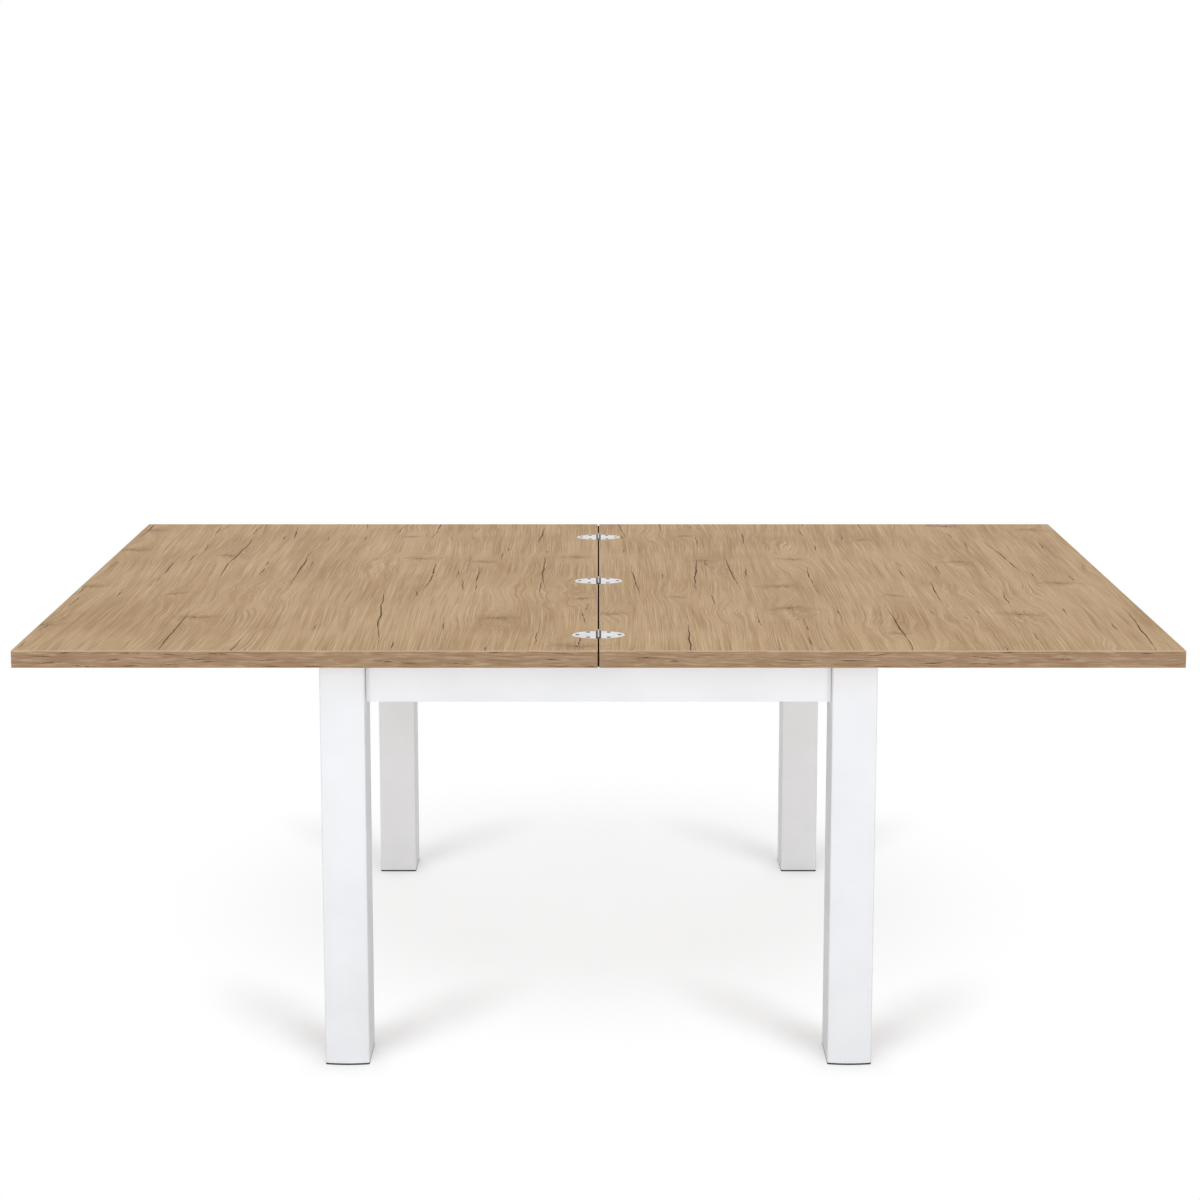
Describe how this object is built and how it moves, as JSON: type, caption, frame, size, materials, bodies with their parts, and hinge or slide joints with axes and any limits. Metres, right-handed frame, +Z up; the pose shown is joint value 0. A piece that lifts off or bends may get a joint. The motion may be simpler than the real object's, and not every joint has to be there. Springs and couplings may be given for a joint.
{
  "type": "extending table",
  "caption": "Extending dining table with a hinged flip top: the double top slides half a leaf along rails in a four-leg frame and unfolds to twice its length.",
  "frame": {"origin": "on the floor, under the middle of the seam of the opened top, which is the middle of the base", "axes": "+X along the opened top towards the folding leaf, +Y from the front to the rear, +Z up"},
  "size_m": [2.003, 1, 0.7628],
  "materials": {
    "oak_board": "knotty oak decor, matt faced board",
    "oak_edge_band": "oak decor edge band, matt",
    "white_lacquer": "white satin lacquer",
    "black_plastic": "moulded, matt",
    "grey_felt": "pressed felt",
    "zinc_steel": "zinc plated",
    "black_rubber": "moulded",
    "beech_dowel": "fluted beech, raw",
    "white_nylon": "moulded",
    "satin_nickel": "satin nickel plated",
    "hinge_screw_steel": "dulled steel"
  },
  "bodies": {
    "frame": {"leg_front_left": "white_lacquer", "foot_glide_front_left": "black_plastic", "leaf_pad_front_left": "grey_felt", "corner_bracket_front_left": "zinc_steel", "rail_stop_front_left": "black_rubber", "leg_front_right": "white_lacquer", "foot_glide_front_right": "black_plastic", "leaf_pad_front_right": "grey_felt", "corner_bracket_front_right": "zinc_steel", "rail_stop_front_right": "black_rubber", "leg_rear_left": "white_lacquer", "foot_glide_rear_left": "black_plastic", "leaf_pad_rear_left": "grey_felt", "corner_bracket_rear_left": "zinc_steel", "rail_stop_rear_left": "black_rubber", "leg_rear_right": "white_lacquer", "foot_glide_rear_right": "black_plastic", "leaf_pad_rear_right": "grey_felt", "corner_bracket_rear_right": "zinc_steel", "rail_stop_rear_right": "black_rubber", "apron_front": "white_lacquer", "apron_rear": "white_lacquer", "apron_left": "white_lacquer", "apron_right": "white_lacquer", "guide_rail_front": "zinc_steel", "guide_rail_rear": "zinc_steel", "apron_dowels": "beech_dowel", "hanger_bolts": "zinc_steel", "hanger_washers": "zinc_steel", "hanger_nuts": "zinc_steel", "bracket_screws": "zinc_steel", "rail_screws": "zinc_steel"},
    "sliding_leaf": {"slide_bracket_front": "zinc_steel", "slide_shoe_front_left": "white_nylon", "slide_shoe_front_right": "white_nylon", "slide_bracket_rear": "zinc_steel", "slide_shoe_rear_left": "white_nylon", "slide_shoe_rear_right": "white_nylon", "slide_shoe_screws": "zinc_steel", "slide_bracket_screws": "zinc_steel", "sliding_leaf_board": "oak_board", "sliding_leaf_edge_bands": "oak_edge_band", "hinge_plate_front_left": "satin_nickel", "hinge_pin_front": "satin_nickel", "hinge_plate_middle_left": "satin_nickel", "hinge_pin_middle": "satin_nickel", "hinge_plate_rear_left": "satin_nickel", "hinge_pin_rear": "satin_nickel", "hinge_screws_left": "hinge_screw_steel", "seam_strip": "black_rubber"},
    "folding_leaf": {"folding_leaf_board": "oak_board", "folding_leaf_edge_bands": "oak_edge_band", "hinge_plate_front_right": "satin_nickel", "hinge_plate_middle_right": "satin_nickel", "hinge_plate_rear_right": "satin_nickel", "hinge_screws_right": "hinge_screw_steel"}
  },
  "joints": [
    {"name": "top_slide", "type": "slide", "parent": "frame", "child": "sliding_leaf", "axis": [1, 0, 0], "range_m": [0, 0.5015]},
    {"name": "leaf_fold", "type": "hinge", "parent": "sliding_leaf", "child": "folding_leaf", "pos_m": [0, 0, 0.76025], "axis": [0, -1, 0], "range_deg": [0, 180]}
  ]
}
